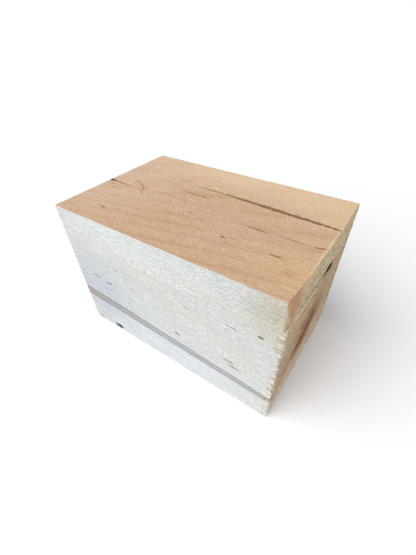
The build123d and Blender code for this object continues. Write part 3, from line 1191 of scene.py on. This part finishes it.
@dataclass
class TornFibres:
    """Splinters left standing in clumps along the front arris of the stepped end, below the ledge."""

    block: SawnBlock
    clumps: int = 30
    in_clump: int = 26
    reach_z: Span = (2.0, 79.0)
    clump_scatter: float = 1.1
    clump_height: float = 0.45
    clump_length: Span = (0.5, 1.0)
    clump_lean: float = 0.25
    clump_curl: Point = (0.1, 0.25, 0.5)
    heading: Point = (1.0, -0.12, 0.1)
    stray: Point = (0.05, 0.12, 0.2)
    stray_curl: Point = (0.08, 0.12, 0.18)
    sink: float = 0.15
    set_in: Span = (0.2, 2.6)
    length: Span = (0.7, 2.6)
    half_width: Span = (0.05, 0.11)
    seed: int = 31

    def build(self) -> bpy.types.Object:
        """Stands the splinters on the torn arris, pointing with the grain and curling off it.

        Returns:
            The splinters as one object.
        """
        random = np.random.default_rng(self.seed)
        count = self.clumps * self.in_clump
        scatter = random.uniform(-self.clump_scatter, self.clump_scatter, self.clumps)
        middles = np.linspace(*self.reach_z, self.clumps) + scatter
        heights = np.repeat(middles, self.in_clump) + random.normal(0.0, self.clump_height, count)
        heights = np.clip(heights, *self.reach_z)
        x = self.block.high[0] - random.uniform(*self.set_in, count)
        y = self.block.low[1] + self.block.arris_tear(x, heights) + self.sink
        length = random.uniform(*self.length, count)
        length *= np.repeat(random.uniform(*self.clump_length, self.clumps), self.in_clump)
        lean = np.repeat(random.normal(0.0, self.clump_lean, self.clumps), self.in_clump)
        slope = random.normal(0.0, 1.0, (count, 3)) * np.array(self.stray)
        slope[:, 2] += lean
        runs = (np.array([self.heading]) + slope) * length[:, None]
        lock = random.normal(0.0, 1.0, (self.clumps, 3)) * np.array(self.clump_curl)
        single = random.normal(0.0, 1.0, (count, 3)) * np.array(self.stray_curl)
        curls = (np.repeat(lock, self.in_clump, axis=0) + single) * length[:, None]
        widths = random.uniform(*self.half_width, count)
        points, faces = sliver_mesh(np.stack([x, y, heights], axis=-1), runs, curls, widths, stations=4)
        return new_mesh_object("torn_fibres", points, faces, smooth_below=60.0)

    def dress(self, fibres: bpy.types.Object) -> None:
        """Gives the splinters the colour of the front's sapwood."""
        fibres.data.materials.append(WoodPainter(FIBRE_FINISHES[FuzzColour.WHITE], RINGS).paint())


@dataclass(frozen=True)
class Nap:
    """The loose fibres on one face: how many, how long and thick, and how they lie.

    lie is their usual direction, scatter how far they stray from it, and rise how steeply they stand.
    keep is the share that is left at the low and high ends of the face's two axes.
    """

    face: Face
    colour: FuzzColour
    count: int
    length: Span
    half_width: Span
    lie: Point
    scatter: float
    rise: Span
    keep: tuple[Span, Span] = ((1.0, 1.0), (1.0, 1.0))


# Drawn a little coarser than real fibres, which are too fine to show in the render.
TOP_NAP = Nap(
    Face.TOP, FuzzColour.TAN, 10000, (0.5, 1.3), (0.05, 0.12), (1.0, 0.0, 0.0), 0.3, (0.15, 0.5),
    keep=((1.0, 0.02), (0.75, 1.0)),
)
FRONT_NAP = Nap(
    Face.FRONT, FuzzColour.WHITE, 26000, (0.25, 0.75), (0.025, 0.06), (1.0, 0.0, -0.06), 0.5, (0.2, 0.7),
    keep=((0.5, 1.0), (0.3, 1.0)),
)
END_NAP = Nap(
    Face.STEPPED_END, FuzzColour.CREAM, 7000, (0.4, 1.1), (0.035, 0.085), (0.0, -0.4, -1.0), 0.5, (0.2, 0.7),
)
SHAKE_NAP = Nap(
    Face.TOP, FuzzColour.WHITE, 360, (0.6, 1.8), (0.06, 0.13), (1.0, 0.0, 0.0), 0.6, (0.3, 0.8),
)


@dataclass
class RaisedGrain:
    """The nap of loose fibres that the saw left standing on the three faces that it cut last."""

    block: SawnBlock
    naps: tuple[Nap, ...] = (TOP_NAP, FRONT_NAP, END_NAP)
    shake_nap: Nap = SHAKE_NAP
    sink: float = 0.2
    margin: float = 0.6
    floor_margin: float = 1.4
    clear_of_tear: float = 6.0
    clear_of_flaw: float = 0.6
    largest_fleck: float = 12.0
    curl: float = 0.12
    shake_run: Span = (-1.03, 0.6)
    shake_spread: float = 0.9
    shake_sides: Point = (1.0, 1.0, -1.0)
    seed: int = 47

    def roots(self, nap: Nap, random: np.random.Generator) -> Array:
        """Where a nap's fibres start: clear of their face's flaws, flecks, streak, facet and torn arris.

        Args:
            nap: the nap.
            random: the source of chance.

        Returns:
            The places, just under the surface.
        """
        block, face = self.block, nap.face
        lowest = block.low + np.array([self.margin, self.margin, self.floor_margin])
        highest = block.high - self.margin
        spots = random.uniform(lowest, highest, (nap.count, 3))
        kept = np.ones(nap.count)
        for axis, ends in zip(face.in_plane, nap.keep):
            kept = kept * np.interp(spots[:, axis], (lowest[axis], highest[axis]), ends)
        clear = random.uniform(0.0, 1.0, nap.count) < kept
        for flaw in FLAWS:
            if flaw.face is face:
                clear &= flaw.share(spots, self.clear_of_flaw) == 0.0
        if face is Face.STEPPED_END:
            y, z = spots[:, 1], spots[:, 2]
            spots[:, 0] = block.square_end + block.end_reach(y, z, z > block.ledge_z(y)) - self.sink
            clear &= block.facet_depth(y - block.low[1], block.high[2] - z) < 0.0
        else:
            spots[:, face.axis] = (block.low, block.high)[face.side][face.axis] + face.inward * self.sink
            clear &= spots[:, 0] < block.square_end - self.clear_of_tear * (face is Face.FRONT)
            for mark in FINISHES[Zone[face.name]].marks:
                if max(mark.half) < self.largest_fleck:
                    clear &= ~mark.covers(spots)
        if face is Face.FRONT:
            clear &= ~RINGS.in_streak(spots)
        return spots[clear]

    def shake_roots(self, random: np.random.Generator) -> Array:
        """Where the longer fibres start that were lifted along the shake, two thirds of them behind it.

        Args:
            random: the source of chance.

        Returns:
            The places, just under the surface.
        """
        count = self.shake_nap.count
        run = RING_SHAKE.half_length * random.uniform(*self.shake_run, count)
        off = RING_SHAKE.half_width * np.clip(1.0 - (run / RING_SHAKE.half_length) ** 2, 0.0, 1.0)
        off = off + random.exponential(self.shake_spread, count)
        off = off * random.choice(self.shake_sides, count)
        turn = math.radians(RING_SHAKE.turn)
        x = RING_SHAKE.along + run * math.cos(turn) - off * math.sin(turn)
        y = RING_SHAKE.across + run * math.sin(turn) + off * math.cos(turn)
        return np.stack([x, y, np.full(count, self.block.high[2] - self.sink)], axis=-1)

    def fibres(self, nap: Nap, roots: Array, random: np.random.Generator) -> tuple[Array, Array]:
        """The fibres of one nap as closed three-sided spikes.

        Args:
            nap: how they lie.
            roots: where they start.
            random: the source of chance.

        Returns:
            Points and triangles.
        """
        count = len(roots)
        way = random.choice([-1.0, 1.0], (count, 1)) if nap.face is not Face.STEPPED_END else 1.0
        runs = way * np.array([nap.lie]) + random.normal(0.0, nap.scatter, (count, 3))
        runs[:, nap.face.axis] = -nap.face.inward * random.uniform(*nap.rise, count)
        runs *= random.uniform(*nap.length, (count, 1)) / np.linalg.norm(runs, axis=1, keepdims=True)
        curls = random.normal(0.0, self.curl, (count, 3)) * np.linalg.norm(runs, axis=1, keepdims=True)
        return sliver_mesh(roots, runs, curls, random.uniform(*nap.half_width, count), stations=1)

    def build(self) -> bpy.types.Object:
        """Joins the naps and the shake's lifted fibres into one object, with a colour for each nap.

        Returns:
            The raised grain.
        """
        random = np.random.default_rng(self.seed)
        sets = [(nap, self.roots(nap, random)) for nap in self.naps]
        sets.append((self.shake_nap, self.shake_roots(random)))
        points, faces, colours = [], [], []
        start = 0
        for nap, roots in sets:
            some_points, some_faces = self.fibres(nap, roots, random)
            points.append(some_points)
            faces.append(some_faces + start)
            colours.append(np.full(len(some_faces), nap.colour.value))
            start += len(some_points)
        all_points, all_faces = np.concatenate(points), np.concatenate(faces)
        grain = new_mesh_object("raised_grain", all_points, all_faces, smooth_below=30.0)
        grain.data.polygons.foreach_set("material_index", np.concatenate(colours).astype(np.int32))
        return grain

    def dress(self, grain: bpy.types.Object) -> None:
        """Gives each nap its colour, in slot order."""
        for colour in FuzzColour:
            grain.data.materials.append(WoodPainter(FIBRE_FINISHES[colour], RINGS).paint())


@dataclass(frozen=True)
class PhotoCamera:
    """A camera at the photograph's viewing angle, in a frame of 416 by 555 pixels."""

    place: Point = (97.96, -134.39, 181.46)
    aim: Point = (17.92, -24.91, 49.0)
    roll_degrees: float = -1.7
    focal_px: float = 300.4
    frame_height_px: float = 555.0
    axis_row_px: float = 300.0
    sensor: float = 36.0
    clip_metres: Span = (0.01, 100.0)

    def build(self) -> bpy.types.Object:
        """Makes the camera and gives it to the scene.

        Returns:
            The camera.
        """
        data = bpy.data.cameras.new("photo_camera")
        data.sensor_width = self.sensor
        data.lens = self.focal_px / self.frame_height_px * self.sensor
        data.shift_y = (self.axis_row_px - self.frame_height_px / 2) / self.frame_height_px
        data.clip_start, data.clip_end = self.clip_metres
        camera = bpy.data.objects.new("photo_camera", data)
        camera.location = Vector(self.place) * MM
        looking = (Vector(self.aim) - Vector(self.place)).to_track_quat("-Z", "Y")
        camera.rotation_mode = "QUATERNION"
        camera.rotation_quaternion = looking @ Quaternion((0.0, 0.0, 1.0), math.radians(self.roll_degrees))
        bpy.context.scene.collection.objects.link(camera)
        bpy.context.scene.camera = camera
        return camera


@dataclass(frozen=True)
class Studio:
    """A white floor under soft light that comes from the front left."""

    floor_half_metres: float = 40.0
    floor_colour: str = "#F3F5F7"
    floor_seen_colour: str = "#FBFCFE"
    sky_level: float = 0.23
    key_level: float = 3.43
    key_angle_degrees: float = 68.0
    key_from: Point = (-0.27, -0.62, 0.735)

    def seen_directly(self, board: NodeBoard) -> bpy.types.Node:
        """Tells what is seen from what only throws light on something else.

        Args:
            board: where to add the nodes.

        Returns:
            1 for what the camera sees straight, in a mirror or through glass, and 0 for light.
        """
        path = board.add("ShaderNodeLightPath").outputs
        straight_or_mirrored = (path["Is Camera Ray"], path["Is Glossy Ray"])
        seen = board.add("ShaderNodeMath", straight_or_mirrored, operation="MAXIMUM")
        return board.add("ShaderNodeMath", (seen, path["Is Transmission Ray"]), operation="MAXIMUM")

    def build_world(self) -> None:
        """Lights the scene evenly from all round, and shows white behind it."""
        world = bpy.data.worlds.new("white_studio")
        world.use_nodes = True
        bpy.context.scene.world = world
        board = NodeBoard(world.node_tree)
        levels = (self.seen_directly(board), 0.0, 1.0, self.sky_level, 1.0)
        strength = board.add("ShaderNodeMapRange", levels)
        sky = board.add("ShaderNodeBackground", {"Color": (1.0, 1.0, 1.0, 1.0), "Strength": strength})
        board.add("ShaderNodeOutputWorld", (sky,))

    def build_key(self) -> bpy.types.Object:
        """Makes the one soft lamp.

        Returns:
            The lamp.
        """
        data = bpy.data.lights.new("soft_key", "SUN")
        data.energy = self.key_level
        data.angle = math.radians(self.key_angle_degrees)
        lamp = bpy.data.objects.new("soft_key", data)
        lamp.rotation_mode = "QUATERNION"
        lamp.rotation_quaternion = Vector(self.key_from).to_track_quat("Z", "Y")
        bpy.context.scene.collection.objects.link(lamp)
        return lamp

    def build_floor(self) -> bpy.types.Object:
        """Makes the floor, which takes the shadow and shows as white where it is fully lit.

        It is a shade whiter where it is seen than where it throws light on the block.

        Returns:
            The floor.
        """
        half = self.floor_half_metres * PER_METRE
        corners = np.array([[-half, -half, 0.0], [half, -half, 0.0], [half, half, 0.0], [-half, half, 0.0]])
        floor = new_mesh_object("floor", corners, np.array([[0, 1, 2, 3]]), smooth_below=30.0)
        material = bpy.data.materials.new("white_paper_floor")
        material.use_nodes = True
        board = NodeBoard(material.node_tree)
        seen = self.seen_directly(board)
        thrown_back = linear_rgb(self.floor_colour)
        whites = {MIX_SHARE: seen, MIX_FROM: thrown_back, MIX_TO: linear_rgb(self.floor_seen_colour)}
        white = board.add("ShaderNodeMix", whites, data_type="RGBA")
        paper = board.add("ShaderNodeBsdfDiffuse", {"Color": white})
        board.add("ShaderNodeOutputMaterial", (paper,))
        floor.data.materials.append(material)
        return floor


def main() -> None:
    """Loads the frame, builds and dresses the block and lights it."""
    logging.basicConfig(level=logging.INFO, format="%(name)s: %(message)s")
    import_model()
    bpy.context.scene.view_settings.view_transform = "Standard"
    low, high = (np.array(corner) * PER_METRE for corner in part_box(NODE))

    block = SawnBlock(low, high)
    fibres = TornFibres(block)
    grain = RaisedGrain(block)
    for maker in (block, fibres, grain):
        piece = maker.build()
        maker.dress(piece)
        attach(piece, BODY)
        if maker is block:
            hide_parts(NODE)
        log.info("%s: %d faces", piece.name, len(piece.data.polygons))

    studio = Studio()
    studio.build_world()
    studio.build_key()
    studio.build_floor()
    PhotoCamera().build()


if __name__ == "__main__":
    main()
